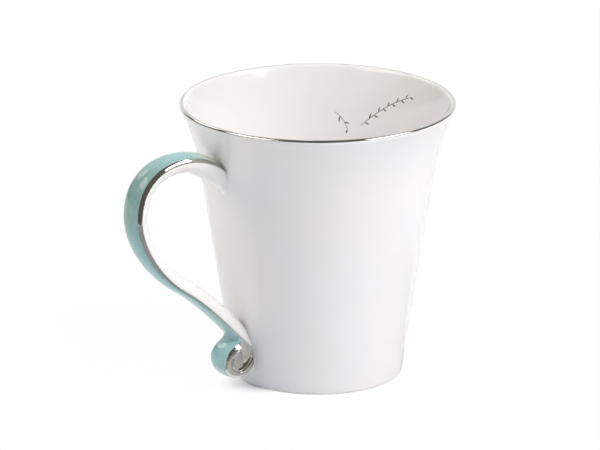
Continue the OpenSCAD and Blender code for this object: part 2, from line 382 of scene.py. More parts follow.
def makeEnamel(name):
    material, tree, shader = newMaterial(name)
    colour, vector = noiseBetween(tree, enamelLook["mottle"], enamelLook["green"], enamelLook["blue"],
                                  low=enamelLook["low"], high=enamelLook["high"])
    # painted shade and painted light blended in round the listed places, with one tone change
    for patch in enamelLook["paintedLightAndTone"]:
        colour = blendTowards(tree, colour, vector, *patch)
    cloud = noiseValue(tree, vector, enamelLook["cloudScale"], 0.0, enamelLook["cloudMost"], detail=4.0)
    colour = blendColours(tree, cloud, colour, enamelLook["pale"])
    tree.links.new(colour, shader.inputs["Base Color"])
    tree.links.new(noiseValue(tree, vector, *enamelLook["rough"]), shader.inputs["Roughness"])
    shader.inputs["IOR"].default_value = enamelLook["ior"]
    addWaves(tree, shader, vector, enamelLook["waves"])
    return material


metalLook = {
    "bright": srgb(221, 219, 215), "worn": srgb(204, 201, 196), "mottle": 120,
    "rough": (420, 0.05, 0.12), "waves": (330, 0.1, 0.06),
    # painted shade: the edge's metal is painted greyer and darker round the upper joint, standing in for the
    # dark reflection there
    "paintedShadePlace": ((-42, 0, 86), 19, srgb(168, 170, 152), 1.0),
}


def makeMetal(name, paintedShadePlace=None):
    material, tree, shader = newMaterial(name)
    colour, vector = noiseBetween(tree, metalLook["mottle"], metalLook["worn"], metalLook["bright"],
                                  detail=5.0)
    # painted shade round the upper joint
    if paintedShadePlace:
        colour = blendTowards(tree, colour, vector, *paintedShadePlace)
    tree.links.new(colour, shader.inputs["Base Color"])
    shader.inputs["Metallic"].default_value = 1.0
    tree.links.new(noiseValue(tree, vector, *metalLook["rough"], detail=4.0), shader.inputs["Roughness"])
    addWaves(tree, shader, vector, metalLook["waves"])
    return material


inkLook = {"dark": srgb(72, 78, 58), "light": srgb(112, 116, 88), "mottle": 1400, "rough": (600, 0.12, 0.3)}


def makeInk(name):
    material, tree, shader = newMaterial(name)
    colour, vector = noiseBetween(tree, inkLook["mottle"], inkLook["dark"], inkLook["light"], detail=4.0)
    tree.links.new(colour, shader.inputs["Base Color"])
    tree.links.new(noiseValue(tree, vector, *inkLook["rough"]), shader.inputs["Roughness"])
    return material


cupGlaze = makeChina("cupGlaze", foot=True)
handleGlaze = makeChina("handleGlaze")
seaEnamel = makeEnamel("seaEnamel")
platinum = makeMetal("platinum")
edgePlatinum = makeMetal("edgePlatinum", metalLook["paintedShadePlace"])
sprigInk = makeInk("sprigInk")

print("stage: materials ready")


# a metal line brushed over the lip's crown, its edges a little uneven as a hand-held brush leaves them
lipBand = {
    "outTurn": 72, "inTurn": 16,   # degrees of the lip's round, outwards and inwards from the crown
    "thick": 0.12, "seat": 0.06, "steps": 12,
    # unevenness of each edge: size in degrees, waves round the lip, start
    "outWaves": [(1.5, 3, 0.7), (0.9, 11, 0.0)], "inWaves": [(1.3, 4, 2.1), (1.0, 9, 0.4)],
}


def arcPoints(centre, r, start, end, steps):
    return [plus(centre, polar(r, mix(start, end, i / steps))) for i in range(steps + 1)]


def makeCup():
    steps, flareSteps = cup["roundSteps"], cup["flareSteps"]
    floorZ = cup["footDepth"] + cup["floor"]
    cornerZ = floorZ + cup["floorRound"]
    corner = [innerWallR(cornerZ) - cup["floorRound"] / wallWay[1], cornerZ]
    heelCentre = [wallR(cup["heel"]) - cup["heel"] / wallWay[1], cup["heel"]]
    ringInner = heelCentre[0] - cup["footRing"]
    hollow = cup["footHollow"]
    turns = [flareTurn * i / flareSteps for i in range(flareSteps + 1)]
    # up the outside, over the lip, down the inside, across the floor and back along the underside
    profile = arcPoints(heelCentre, cup["heel"], -90, outAngle, steps)
    profile += [[wallR(z), z] for z in range(6, int(flareZ), cup["rowStep"])]
    profile += [flarePoint(a, 0) for a in turns]
    profile += arcPoints(lipCentre, cup["lip"] / 2 - lipBand["seat"], lipAngle, lipAngle + 180, steps)[1:-1]
    profile += [flarePoint(a, flareDepth(a)) for a in turns[::-1]]
    profile += [[innerWallR(z), z] for z in range(int(flareZ) - 4, int(cornerZ) + 2, -cup["rowStep"])]
    profile += arcPoints(corner, cup["floorRound"], outAngle, -90, steps)
    profile += [[corner[0] * 0.6, floorZ], [0, floorZ], [0, cup["footDepth"]]]
    profile += arcPoints([ringInner - hollow - cup["hollowInset"], cup["footDepth"] - hollow],
                         hollow, 90, 20, 8)
    profile += [[ringInner - cup["ringLean"], cup["ringRound"]], [ringInner, cup["ringEase"]],
                [ringInner + cup["ringRound"], 0]]
    return makePiece("mugCup", *lathe(profile, cup["segments"]), cupGlaze)


def uneven(turn, waves):
    return sum(size * math.sin(count * turn + start) for size, count, start in waves)


def makeLipBand():
    outer, inner, steps = cup["lip"] / 2, cup["lip"] / 2 - lipBand["thick"], lipBand["steps"]
    rows = []
    for i in range(cup["segments"]):
        turn = 2 * math.pi * i / cup["segments"]
        out = 90 - lipBand["outTurn"] - uneven(turn, lipBand["outWaves"])
        back = 90 + lipBand["inTurn"] + uneven(turn, lipBand["inWaves"])
        loop = arcPoints(lipCentre, outer, out, back, steps)
        loop += arcPoints(lipCentre, inner, back, out, steps)
        rows.append([[r * math.cos(turn), r * math.sin(turn), z] for r, z in loop])
    return makePiece("mugLipBand", *turned(skin(rows, wrap=True)), platinum, sharp=50)


settle(makeCup(), "bone_china", "cup_body")
settle(makeLipBand(), "fired_metal", "lip_band")
print("stage: cup made")


# small leafy sprigs painted inside the cup
sprig = {
    # turn round the axis and height of each end, bow, number of leaves
    "stems": [((31, 80), (3, 93), 1.4, 11), ((45, 84), (38, 77.5), 0.8, 3)],
    "stemWidths": [[0, 0.3], [0.9, 0.36], [1, 0.08]],
    "leafWidths": [[0, 0.08], [0.3, 0.95], [0.6, 0.76], [1, 0.06]],
    "leafLong": 2.2, "leafBow": 0.12, "spread": 48, "firstLeaf": 0.8,
    "leafShares": (1.1, 0.75), "leafLuck": (0.88, 1.12), "tiltLuck": (0.8, 1.1),
    "raise": 0.05, "edgeSink": 0.03, "underSink": 0.12, "strokeSteps": 8, "seed": 7,
}


def onInside(turn, z, lift):
    return [c * (innerR(z) - lift) for c in polar(1, turn)] + [z]


def makeStroke(turn, z, heading, long, widths, bow):
    # one brush stroke: a thin low ridge that lies on the inner wall and ends in a point
    rows, way, steps = [], polar(1, heading), sprig["strokeSteps"]
    edge = -sprig["edgeSink"]
    for i in range(steps + 1):
        t = i / steps
        half = lookup(t, widths) / 2
        lean = bow * math.sin(math.pi * t)
        middle = [long * t * way[0] - lean * way[1], long * t * way[1] + lean * way[0]]
        row = []
        for side, lift in ((-1, edge), (0, sprig["raise"]), (1, edge), (0, -sprig["underSink"])):
            across, up = middle[0] - way[1] * half * side, middle[1] + way[0] * half * side
            height = z + up
            row.append(onInside(turn - math.degrees(across / innerR(height)), height, lift))
        rows.append(row)
    return skin(rows)


def makeSprigs():
    random.seed(sprig["seed"])
    parts = []
    for (turnA, zA), (turnB, zB), bow, leaves in sprig["stems"]:
        r = innerR((zA + zB) / 2)
        across, up = math.radians(turnA - turnB) * r, zB - zA
        heading, long = math.degrees(math.atan2(up, across)), math.hypot(across, up)
        way = unit([across, up])
        parts.append(makeStroke(turnA, zA, heading, long, sprig["stemWidths"], bow))
        for i in range(leaves):
            t = (i + sprig["firstLeaf"]) / leaves
            side = 1 if i % 2 else -1
            lean = bow * math.sin(math.pi * t)
            x, y = long * t * way[0] - lean * way[1], long * t * way[1] + lean * way[0]
            size = sprig["leafLong"] * mix(*sprig["leafShares"], t) * random.uniform(*sprig["leafLuck"])
            tilt = heading + side * sprig["spread"] * random.uniform(*sprig["tiltLuck"])
            turn, z = turnA - math.degrees(x / innerR(zA + y)), zA + y
            parts.append(makeStroke(turn, z, tilt, size, sprig["leafWidths"], sprig["leafBow"] * side))
    return makePiece("innerSprigs", *joinParts(*parts), sprigInk, sharp=50)


settle(makeSprigs(), "pale_enamel")
print("stage: sprigs painted")

# the strap leaves the wall, loops out and back and rolls up at its end
strap = {
    "jointDrop": 16.8, "reach": 37.5, "width": 10.7, "rootWidth": 9, "face": 1.2, "back": 4.6,
    "edge": 1.5, "coat": 0.22, "finer": 4,   # finer is the number of rings to a station
    "intoWall": (2.4, 1.6, 0.8), "wallTurnShare": 0.2,
    # roundness of the dome, of the bevel under it and of the back
    "domeRound": 0.75, "bevelShare": 0.68, "bevelMost": 1.02, "bevelAtRollShare": 0.5,
    "bevelCurve": 1.2, "bevelRound": 0.5, "sinkShare": 0.35, "backInset": 0.08,
    "enamelUnder": 0.1, "bandUnder": 0.05, "enamelEdge": 0.1, "enamelEdgeCurve": 14,
    "edgeCrowd": 0.35,
    "domeSteps": 20, "bandSteps": 9, "backSteps": 28,
    "smoothWidth": 60, "smoothEdge": 40, "smoothBack": 24,
    # station shares against shares of the edge, the back and the dome
    "edgeShares": [[0, 0.35], [0.08, 0.75], [0.3, 1], [0.48, 0.78], [0.6, 0.34], [0.85, 0.26], [0.93, 0.5]],
    "backShares": [[0, 1.95], [0.05, 1.7], [0.09, 1.42], [0.13, 1.15], [0.18, 1], [0.6, 1], [0.9, 1.05],
                   [1, 0.5]],
    "faceShares": [[0, 0.5], [0.1, 1], [0.85, 1], [1, 0.5]],
}
scroll = {
    "r": 6.6, "width": 10, "gap": 5.2, "bite": 1.35, "rollT": 2.6, "rise": 0.7,
    "rollFrom": 150, "rollEdgeShare": 0.77, "rollStartShare": 0.93, "webReachShare": 1.42,
}
strapWidths = [[0, strap["rootWidth"]], [0.28, strap["width"]], [0.72, strap["width"]], [1, scroll["width"]]]
jointZ = cup["height"] - strap["jointDrop"]
scrollZ = scroll["gap"] + scroll["r"]
scrollCentre = [wallR(scrollZ) + scroll["r"] - scroll["bite"], scrollZ]
jointPoint = plus([wallR(jointZ), jointZ], wallOut, (jointZ - flareZ) ** 2 / (2 * flareR))
loopSpan = [strap["reach"], jointZ - scrollZ]
loopShares = [[0, 0], [0.21, 0.143], [1, 0.165], [1, -0.167],
              [1, -0.332], [0.735, -0.496], [0.475, -0.586], [0.184, -0.686]]
loopPoints = [[jointPoint[0] + a * loopSpan[0], jointPoint[1] + b * loopSpan[1]] for a, b in loopShares]
rollEdge = scroll["rollT"] * scroll["rollEdgeShare"]
rollStart = plus(scrollCentre, polar(scroll["r"] - rollEdge, scroll["rollFrom"]))
rollLead = plus(rollStart, polar(scroll["r"], scroll["rollFrom"] + 90), -1)
arcs = [loopPoints[0:4], loopPoints[3:7], [loopPoints[6], loopPoints[7], rollLead, rollStart]]
arcSteps = [20, 14, 20]
arcCrowding = [1.35, 1, 1]   # stations crowd together near the upper joint
lastStation = sum(arcSteps)


def stationAt(k):
    # place and direction of the strap's outer face at a station number, whole or between
    a = 0
    while a < 2 and k > arcSteps[a]:
        k -= arcSteps[a]
        a += 1
    t = (k / arcSteps[a]) ** arcCrowding[a]
    return bezier(arcs[a], t), bezierWay(arcs[a], t)


def nearRoll(s):
    return max(0.0, (s - scroll["rollStartShare"]) / (1 - scroll["rollStartShare"]))


stationNumbers = [i / strap["finer"] for i in range(lastStation * strap["finer"] + 1)]
shares = [k / lastStation for k in stationNumbers]
halfWidths = smoothed([lookup(s, strapWidths) / 2 for s in shares], strap["smoothWidth"])
edges = smoothed([mix(strap["edge"] * lookup(s, strap["edgeShares"]), rollEdge, nearRoll(s)) for s in shares],
                 strap["smoothEdge"])
backs = smoothed([strap["back"] * lookup(s, strap["backShares"]) for s in shares], strap["smoothBack"])
bevels = [min(strap["bevelShare"] * e, strap["bevelMost"])
          * (1 - strap["bevelAtRollShare"] * smoothStep(nearRoll(s))) for e, s in zip(edges, shares)]
rises = smoothed([strap["face"] * lookup(s, strap["faceShares"]) for s in shares], strap["smoothEdge"])


def backWay(place, way):
    t = smoothStep(math.dist(place, jointPoint) / (strap["wallTurnShare"] * loopSpan[1]))
    return unit(mix([-wallWay[0], -wallWay[1]], [way[1], -way[0]], t))


class Ring:
    # one cross-section's place, directions and sizes
    def __init__(self, index, push=0.0):
        place, self.way = stationAt(stationNumbers[index])
        self.place = plus(place, self.way, push)
        self.deep = backWay(place, self.way)
        self.half, self.edge = halfWidths[index], edges[index]
        self.back, self.rise, self.bevel = backs[index], rises[index], bevels[index]

    def put(self, across, depth):
        q = plus(self.place, self.deep, depth)
        return [-q[0], across, q[1]]


# the first rings lie inside the wall, where its own surface hides them
strapRings = [Ring(0, -push) for push in strap["intoWall"]] + [Ring(i) for i in range(len(stationNumbers))]


def domeAt(ring, x, lift=0.0):
    # the coloured outer face: x runs from -1 to 1 across it
    half = ring.half - ring.bevel
    return [half * x, -(ring.rise * (1 - x * x) ** strap["domeRound"]) - lift]


def bandAt(ring, t, sink=0.0):
    # the bright side edge, from the face (0) to the back (1)
    fall = mix((1 - t) ** strap["bevelCurve"], 1 - math.sin(math.pi * t / 2), strap["bevelRound"])
    return [-(ring.half - ring.bevel * fall) + sink, ring.edge * t + sink * strap["sinkShare"] * (1 - t)]


def backAt(ring, degrees):
    a = math.radians(degrees)
    return [-(ring.half - strap["backInset"]) * math.cos(a), ring.edge + ring.back * math.sin(a)]


def strapSection(ring, sink):
    # a full loop: face from front to rear, rear edge, back, front edge
    domeSteps, bandSteps, backSteps = strap["domeSteps"], strap["bandSteps"], strap["backSteps"]
    loop = [domeAt(ring, -1 + 2 * i / domeSteps, -sink) for i in range(domeSteps + 1)]
    band = [bandAt(ring, (i + 1) / bandSteps, sink) for i in range(bandSteps)]
    loop += [[-a, b] for a, b in band]
    loop += [[-a, b] for a, b in [backAt(ring, 180 * i / backSteps) for i in range(1, backSteps)]]
    loop += band[::-1]
    return [ring.put(a, b) for a, b in loop]


def makeStrapCore():
    return skin([strapSection(ring, strap["coat"]) for ring in strapRings])


def makeArmEnamel(lastIndex):
    rows, steps = [], strap["domeSteps"]
    for ring in strapRings[:lastIndex]:
        top, under = [], []
        for i in range(steps + 1):
            x = -1 + 2 * i / steps
            x = mix(x, math.sin(x * math.pi / 2), strap["edgeCrowd"])
            thinner = strap["enamelEdge"] * abs(x) ** strap["enamelEdgeCurve"]
            top.append(ring.put(*domeAt(ring, x, -thinner)))
            under.append(ring.put(*domeAt(ring, x, -strap["coat"] - strap["enamelUnder"])))
        rows.append(top + under[::-1])
    return skin(rows)


def makeArmBand():
    rows, steps = [], strap["bandSteps"]
    under = strap["coat"] + strap["bandUnder"]
    for ring in strapRings:
        outer = [ring.put(*bandAt(ring, i / steps)) for i in range(steps + 1)]
        inner = [ring.put(*bandAt(ring, i / steps, under)) for i in range(steps + 1)]
        rows.append(outer + inner[::-1])
    return turned(skin(rows))


joinIndex = next(i for i, ring in enumerate(strapRings)
                 if math.dist(ring.place, scrollCentre) < scroll["webReachShare"] * scroll["r"])

# the bright face of the roll: u outwards from the cup and v up, from the scroll's centre
scrollFace = {
    # its edge as angle and radius: it dips inside the drum's own edge at the upper left
    "outline": [[-10, 6.45], [0, 6.3], [25, 5.9], [52, 6.05], [68, 6.35], [77, 6.95], [89, 7.05], [99, 6.75],
                [110, 6.2], [123, 5.85], [136, 5.8], [154, 5.95], [170, 6.2], [188, 6.4], [225, 6.6],
                [265, 6.8], [305, 6.88], [340, 6.7], [350, 6.45]],
    "grooveOne": [[6.2, -0.1], [5.3, 0.95], [4.5, 1.7], [3.0, 2.72], [1.55, 3.4], [-0.15, 3.95]],
    "grooveTwo": [[3.76, 0.1], [3.86, -1.5], [3.39, -2.72], [2.47, -3.75], [0.81, -4.4], [-0.85, -4.13],
                  [-2.5, -3.19], [-4.17, -1.9], [-5.15, -0.5], [-5.45, 1.0]],
    "bead": [[3.15, 0.2], [3.25, -1.3], [2.45, -2.85], [1.15, -3.72], [-0.85, -3.45], [-2.7, -2.25],
             [-4.0, -0.55], [-4.65, 1.05], [-4.75, 2.6], [-4.3, 3.8], [-3.1, 4.9], [-1.75, 5.75],
             [-0.6, 6.35], [0.5, 6.55], [1.5, 6.45]],
    "wedge": [[0.45, 6.0], [-0.1, 4.9], [-0.45, 4.1]],
    "eyeTop": [[-0.3, 3.75], [1.5, 3.15], [3.0, 2.45], [4.3, 1.5], [5.1, 0.5], [4.7, -0.2], [3.9, -0.1]],
    "valley": [[0.2, 5.7], [-0.35, 4.6], [-0.9, 3.0], [-1.25, 1.5], [-1.45, 0.1], [-1.4, -1.3]],
    "grooveDeep": 0.5, "grooveWide": 0.24, "beadHigh": 0.22, "beadWide": 0.5,
    "valleyDeep": 1.0, "valleyRound": 1.15, "shallowShare": 0.3, "shallowFrom": -4.2, "shallowOver": 8.2,
    "crescentRaised": 0.35, "crescentSlope": 0.62, "crescentSoft": 0.3, "crescentFrom": -6, "crescentTo": 92,
    "shoulderWide": 1.35, "shoulderDeep": 1.1, "deep": 2.6, "rings": 66, "spokes": 240, "crowding": 0.9,
    "curveSteps": 8,
}


def faceR(a):
    table = scrollFace["outline"]
    a = (a - table[0][0]) % 360 + table[0][0]
    for i in range(len(table) - 1):
        if a <= table[i + 1][0]:
            t = (a - table[i][0]) / (table[i + 1][0] - table[i][0])
            before, after = table[max(0, i - 1)][1], table[min(len(table) - 1, i + 2)][1]
            return through(before, table[i][1], table[i + 1][1], after, t)
    return table[-1][1]


def curveThrough(points):
    out, last, per = [], len(points) - 1, scrollFace["curveSteps"]
    for i in range(last):
        near = [points[max(0, i - 1)], points[i], points[i + 1], points[min(last, i + 2)]]
        out += [[through(*four, s / per) for four in zip(*near)] for s in range(per)]
    return out + [points[-1]]


def distanceTo(path, u, v):
    best = 1e9
    for a, b in zip(path, path[1:]):
        dx, dy = b[0] - a[0], b[1] - a[1]
        t = max(0.0, min(1.0, ((u - a[0]) * dx + (v - a[1]) * dy) / (dx * dx + dy * dy)))
        best = min(best, math.hypot(u - a[0] - dx * t, v - a[1] - dy * t))
    return best


def inside(edge, u, v):
    found = False
    for (x0, y0), (x1, y1) in zip(edge, edge[1:] + edge[:1]):
        if (y0 > v) != (y1 > v) and u < (x1 - x0) * (v - y0) / (y1 - y0) + x0:
            found = not found
    return found


lineNames = ("grooveOne", "grooveTwo", "bead", "wedge", "eyeTop", "valley")
pathOne, pathTwo, beadPath, wedgePath, eyeTopPath, valleyPath = (
    curveThrough(scrollFace[name]) for name in lineNames)
eyeEdge = beadPath[:-scrollFace["curveSteps"]] + wedgePath + eyeTopPath   # without the bead's last stretch


def faceSink(u, v):
    # depth of the bright face behind its highest plane
    angle = math.degrees(math.atan2(v, u))
    one, two, bead = (distanceTo(path, u, v) for path in (pathOne, pathTwo, beadPath))
    sink = scrollFace["beadHigh"] * (1 - math.exp(-(bead / scrollFace["beadWide"]) ** 2))
    inEye = inside(eyeEdge, u, v)
    inCrescent = (not inEye and scrollFace["crescentFrom"] < angle < scrollFace["crescentTo"]
                  and v > lookup(u, scrollFace["grooveOne"][::-1]))
    if inEye:
        rim = min(bead, distanceTo(eyeTopPath, u, v))
        deep = distanceTo(valleyPath, u, v)
        share = mix(scrollFace["shallowShare"], 1,
                    smoothStep((v - scrollFace["shallowFrom"]) / scrollFace["shallowOver"]))
        sink += scrollFace["valleyDeep"] * share * (rim / (rim + deep + 1e-6)) ** scrollFace["valleyRound"]
    elif inCrescent:
        raised = scrollFace["crescentRaised"] * smoothStep(one / scrollFace["crescentSoft"])
        sink = scrollFace["crescentSlope"] * one - raised
    for gap in (one, two):
        sink += scrollFace["grooveDeep"] * math.exp(-(gap / scrollFace["grooveWide"]) ** 2)
    if not inCrescent:
        over = (math.hypot(u, v) - faceR(angle)) / scrollFace["shoulderWide"] + 1
        over = max(0.0, min(1.0, over))
        sink += scrollFace["shoulderDeep"] * (1 - math.sqrt(1 - over * over))
    return sink


def makeScrollFace():
    rings, spokes = scrollFace["rings"], scrollFace["spokes"]
    frontY = -scroll["width"] / 2
    turns = [360 * i / spokes for i in range(spokes)]

    def onFace(u, v, depth):
        return [-(scrollCentre[0] + u), frontY + depth, scrollCentre[1] + v]

    def at(k, i):
        return 1 + (k - 1) * spokes + i % spokes

    points, faces = [onFace(0, 0, faceSink(0, 0))], []
    for k in range(1, rings + 1):
        share = (k / rings) ** scrollFace["crowding"]
        for a in turns:
            u, v = polar(faceR(a) * share, a)
            points.append(onFace(u, v, faceSink(u, v)))
    for i in range(spokes):
        faces.append([0, at(1, i + 1), at(1, i)])
        for k in range(1, rings):
            faces.append([at(k, i), at(k, i + 1), at(k + 1, i + 1), at(k + 1, i)])
    # side and back close the face into a plate
    start = len(points)
    points += [onFace(*polar(faceR(a), a), scrollFace["deep"]) for a in turns]
    for i in range(spokes):
        faces.append([at(rings, i), at(rings, i + 1), start + (i + 1) % spokes, start + i])
    faces.append([start + i for i in range(spokes)])
    return points, faces


# the drum of the roll, between its two bright faces
drum = {
    # angle and radius: the roll tightens towards its top, where the web runs into the arm
    "radii": [[370, scroll["r"]], [395, 6.45], [410, 6.25], [425, 6.3], [440, 6.45]],
    # angle and width of the metal that wraps round each edge
    "wraps": [[225, 1.2], [290, 1.25], [330, 1.1], [365, 0.65], [425, 0.75], [445, 0.25], [470, 0.0]],
    "enamelFrom": 215, "enamelTo": 433, "enamelStep": 4, "under": 0.25, "underNarrower": 0.02,
    "shoulder": 0.3, "shoulderFrom": 0.9, "evenSteps": 14, "edgeShares": [0.95, 0.985, 1],
    # a hollow fillet carries the enamel from the web onto the arm's face
    "filletLead": [-0.2, 7.1], "filletTo": 480, "filletSteps": 10,
    "coreInset": 2.4, "coreSink": 0.3, "coreSteps": 72, "coreRows": 10,
}
# the web between the arm and the roll, and how many rings past their join the coats reach
web = {
    "from": 84, "steps": 14, "pastJoin": 2, "armPastJoin": 4,
    "underFace": 0.4, "intoArm": 0.25, "inset": 0.12, "deep": 0.9,
}


def drumR(a):
    return lookup(a, drum["radii"])


def swell(y):
    return scroll["rise"] * (1 - (2 * y / scroll["width"]) ** 2)


def outwards(path, i):
    a, b = path[max(0, i - 1)], path[min(len(path) - 1, i + 1)]
    way = unit(plus(b, a, -1))
    return [way[1], -way[0]]


def makeDrumEnamel():
    # from under the roll up over the web to the arm's face
    angles = list(range(drum["enamelFrom"], drum["enamelTo"], drum["enamelStep"]))
    path = [plus(scrollCentre, polar(drumR(a), a)) for a in angles]
    end, lead = path[-1], plus(scrollCentre, drum["filletLead"])
    armPlace, endTurn = strapRings[joinIndex - 1].place, angles[-1]
    for i in range(1, drum["filletSteps"] + 1):
        t = i / drum["filletSteps"]
        path.append(bowed(end, lead, armPlace, t))
        angles.append(mix(endTurn, drum["filletTo"], t))
    steps, flat = drum["evenSteps"], drum["shoulderFrom"]
    across = [-v for v in drum["edgeShares"][::-1]]
    across += [flat * (-1 + 2 * i / steps) for i in range(steps + 1)] + drum["edgeShares"]
    rows = []
    for i in range(len(path)):
        out, half = outwards(path, i), scroll["width"] / 2 - lookup(angles[i], drum["wraps"])
        top, under = [], []
        for v in across:
            lift = swell(v * half) - drum["shoulder"] * max(0.0, (abs(v) - flat) / (1 - flat)) ** 2
            q = plus(path[i], out, lift)
            top.append([-q[0], v * half, q[1]])
            q = plus(path[i], out, lift - strap["coat"] - drum["under"])
            under.append([-q[0], v * (half - drum["underNarrower"]), q[1]])
        rows.append(top + under[::-1])
    return turned(skin(rows))


def makeDrumCore():
    # the white body of the roll under its coats
    rows, count = [], drum["coreRows"]
    half = scroll["width"] / 2 - drum["coreInset"]
    for i in range(count + 1):
        y = half * (-1 + 2 * i / count)
        row = []
        for k in range(drum["coreSteps"]):
            a = 360 * k / drum["coreSteps"] + 90
            q = plus(scrollCentre, polar(drumR(a) + swell(y) - drum["coreSink"], a))
            row.append([-q[0], y, q[1]])
        rows.append(row)
    return skin(rows)


def makeWebSides():
    # coloured cheeks between the bright face, the arm's edge and the drum's shoulder
    low, high, last = [], [], len(strapRings) - 1
    for i in range(web["steps"] + 1):
        t = i / web["steps"]
        a = mix(web["from"], scroll["rollFrom"], t)
        low.append(plus(scrollCentre, polar(faceR(a) - web["underFace"], a)))
        ring = strapRings[round(mix(joinIndex + web["pastJoin"], last, t))]
        high.append(plus(ring.place, ring.deep, web["intoArm"]))
    rows, side = [], -scroll["width"] / 2
    outer, inner = web["inset"], web["deep"]
    for t, depth in ((0, outer), (0.5, outer), (1, outer), (1, inner), (0, inner)):
        rows.append([[-mix(a[0], b[0], t), side + depth, mix(a[1], b[1], t)] for a, b in zip(low, high)])
    points, faces = skin(rows, ring=False, caps=False, wrap=True)
    n, count = len(low), len(rows)
    faces += [[k * n for k in range(count)], [k * n + n - 1 for k in range(count)][::-1]]
    return joinParts((points, faces), mirrored((points, faces)))


def makeHandle():
    casting = joinParts(makeStrapCore(), makeDrumCore())
    arm = makeArmEnamel(joinIndex + web["armPastJoin"])
    roll = joinParts(makeDrumEnamel(), makeWebSides())
    front = joinParts(makeArmBand(), makeScrollFace())
    rear = mirrored(front)
    settle(makePiece("handleBody", *casting, handleGlaze), "bone_china", "handle_casting")
    settle(makePiece("armEnamel", *arm, seaEnamel, sharp=60), "pale_enamel", "arm_enamel")
    settle(makePiece("scrollEnamel", *roll, seaEnamel, sharp=60), "pale_enamel", "scroll_enamel")
    settle(makePiece("frontMetalEdge", *front, edgePlatinum, sharp=60), "fired_metal", "front_metal_edge")
    settle(makePiece("rearMetalEdge", *rear, edgePlatinum, sharp=60), "fired_metal", "rear_metal_edge")


makeHandle()
print("stage: handle made")


# slip smoothed round the strap's upper end, widest below it
upperSlip = {"rings": 16, "lowReach": 2.2, "highReach": 0.35, "fadeShare": 1.15, "steps": 8, "intoWall": 0.5}
# slip smoothed into the nook between the roll and the wall below it
lowerSlip = {
    "half": 4.3, "steps": 12, "drumTurns": [190, 200, 210, 218], "proud": 0.02, "bowSteps": [0.35, 0.7, 1],
    "drop": 1.7, "pinchShare": 0.5, "sink": 0.15, "bulge": 0.25, "bulgeShare": 0.45, "intoWall": 1.2,
}


def onWall(p):
    # the point pushed out or in to the cup's outer surface, at its own height
    scale = outerR(p[2]) / math.hypot(p[0], p[1])
    return [p[0] * scale, p[1] * scale, p[2]]


def beyondWall(p):
    return math.hypot(p[0], p[1]) - outerR(p[2])


def crossWall(line):
    # where a line along the strap comes out of the wall
    for a, b in zip(line, line[1:]):
        ga, gb = beyondWall(a), beyondWall(b)
        if ga <= 0 < gb:
            return mix(a, b, -ga / (gb - ga))
    return onWall(line[3])


def alongStrap(line, start, size):
    # the point on the strap at the fillet's reach from where the line leaves the wall
    reach, place = 0.0, start
    for b in line[1:]:
        if beyondWall(b) <= 0:
            continue
        step = math.dist(place, b)
        if reach + step >= size:
            return mix(place, b, (size - reach) / step)
        reach += step
        place = b
    return place


def makeUpperSlip():
    loops = [strapSection(ring, 0.0) for ring in strapRings[:upperSlip["rings"]]]
    lines = [list(line) for line in zip(*loops)]
    meets = [crossWall(line) for line in lines]
    low, high = min(m[2] for m in meets), max(m[2] for m in meets)
    rows = [[] for _ in range(upperSlip["steps"] + 2)]
    for i, meet in enumerate(meets):
        along = Vector(meets[(i + 1) % len(meets)]) - Vector(meets[i - 1])
        radial = Vector((meet[0], meet[1], 0)).normalized()
        away = radial.cross(along).normalized()
        size = mix(upperSlip["lowReach"], upperSlip["highReach"],
                   smoothStep((meet[2] - low) / (high - low) * upperSlip["fadeShare"]))
        top = alongStrap(lines[i], meet, size)
        foot = onWall(list(Vector(meet) + away * size))
        for k in range(upperSlip["steps"] + 1):
            rows[k].append(bowed(top, meet, foot, k / upperSlip["steps"]))
        # the fillet's hidden underside lies in the wall
        rows[-1].append(list(Vector(meet) - radial * upperSlip["intoWall"]))
    return turned(skin(rows, wrap=True))


def makeLowerSlip():
    rows, half = [], lowerSlip["half"]
    lastTurn, drumSide = lowerSlip["drumTurns"][-1], scroll["r"] + lowerSlip["proud"]
    for j in range(lowerSlip["steps"] + 1):
        y = half * (-1 + 2 * j / lowerSlip["steps"])
        pinch = 1 - lowerSlip["pinchShare"] * (y / half) ** 4
        line = [plus(scrollCentre, polar(drumSide, a)) for a in lowerSlip["drumTurns"]]
        end = plus(scrollCentre, polar(scroll["r"], lastTurn))
        low = end[1] - lowerSlip["drop"] * pinch
        wall = [outerR(low) - lowerSlip["sink"], low]
        middle = [outerR(end[1]) + lowerSlip["bulge"], mix(end[1], low, lowerSlip["bulgeShare"])]
        line += [bowed(end, middle, wall, t) for t in lowerSlip["bowSteps"]]
        line += [[outerR(z) - lowerSlip["intoWall"], z] for z in (low, scrollZ)]
        rows.append([[-u, y, z] for u, z in line])
    return skin(rows)


settle(makePiece("upperSlipJoint", *makeUpperSlip(), handleGlaze, sharp=60), "bone_china", "upper_slip_joint")
settle(makePiece("lowerSlipJoint", *makeLowerSlip(), handleGlaze, sharp=50), "bone_china", "lower_slip_joint")
print("stage: slip joints made")

# the camera's place round the mug, its aim and its lens
view = {
    "azimuth": -36, "elevation": 17.45, "distance": 2.5,
    "lens": 420.7, "sensor": 36, "aimZ": 0.05397, "aimSide": -0.0063,
}


def placeCamera():
    a, e = math.radians(view["azimuth"]), math.radians(view["elevation"])
    side = Vector((math.cos(a), math.sin(a), 0))
    back = Vector((math.sin(a) * math.cos(e), -math.cos(a) * math.cos(e), math.sin(e)))
    target = Vector((0, 0, view["aimZ"])) + side * view["aimSide"]
    data = bpy.data.cameras.new("viewCamera")
    data.lens = view["lens"]
    data.sensor_width = view["sensor"]
    data.clip_end = 50
    camera = bpy.data.objects.new("viewCamera", data)
    camera.location = target + back * view["distance"]
    camera.rotation_euler = (-back).to_track_quat("-Z", "Y").to_euler()
    scene.collection.objects.link(camera)
    scene.camera = camera


floorLook = {
    "size": 4000, "drop": 0.02, "tone": srgb(244, 244, 245), "rough": 0.7, "whiteShare": 0.95,
    # the floor shows its own shade at the foot below the scroll
    "spot": (-27, 0, 0), "spotFrom": 3, "spotTo": 14, "spotWhiteShare": 0.15,
}


